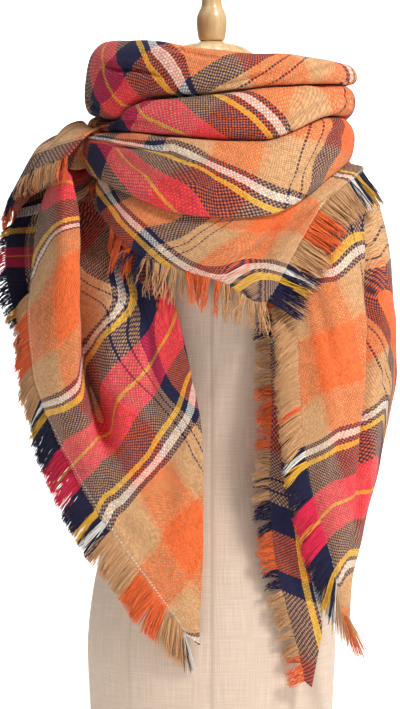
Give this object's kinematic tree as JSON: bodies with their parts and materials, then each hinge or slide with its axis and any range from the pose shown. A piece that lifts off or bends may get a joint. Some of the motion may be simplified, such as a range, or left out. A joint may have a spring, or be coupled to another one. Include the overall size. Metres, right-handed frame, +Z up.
{
  "type": "blanket scarf on a limbless dress form",
  "caption": "Large plaid blanket scarf with a frayed fringe, wound round the neck of a limbless table-top dress form, one corner hanging in front and its ends at the sides.",
  "frame": {"origin": "centre of the flat underside of the dress form's board", "axes": "+X to the right seen from the front, +Y to the back, +Z up"},
  "size_m": [0.5203, 0.314, 1.0305],
  "materials": {
    "linen": "plain-woven linen cover",
    "wood": "turned, clear satin",
    "camel_wool": "soft twill, light nap",
    "orange_wool": "soft twill, light nap",
    "rose_wool": "soft twill, light nap",
    "navy_wool": "soft twill, light nap"
  },
  "bodies": {
    "root": {"form_torso": "linen", "form_base": "wood", "form_neck_cap": "wood", "form_finial": "wood", "cowl_roll_top": "orange_wool", "cowl_roll_mid": "rose_wool", "cowl_roll_low": "orange_wool", "bib": "camel_wool", "end_left": "camel_wool", "end_left_under": "navy_wool", "wrap_left": "camel_wool", "end_right": "orange_wool", "end_right_under": "navy_wool", "fringe_bib_left": "orange_wool", "fringe_bib_right": "camel_wool", "fringe_end_left": "orange_wool", "fringe_left_under": "orange_wool", "fringe_wrap_left": "camel_wool", "fringe_end_right": "orange_wool", "fringe_right_under": "orange_wool"}
  },
  "joints": []
}
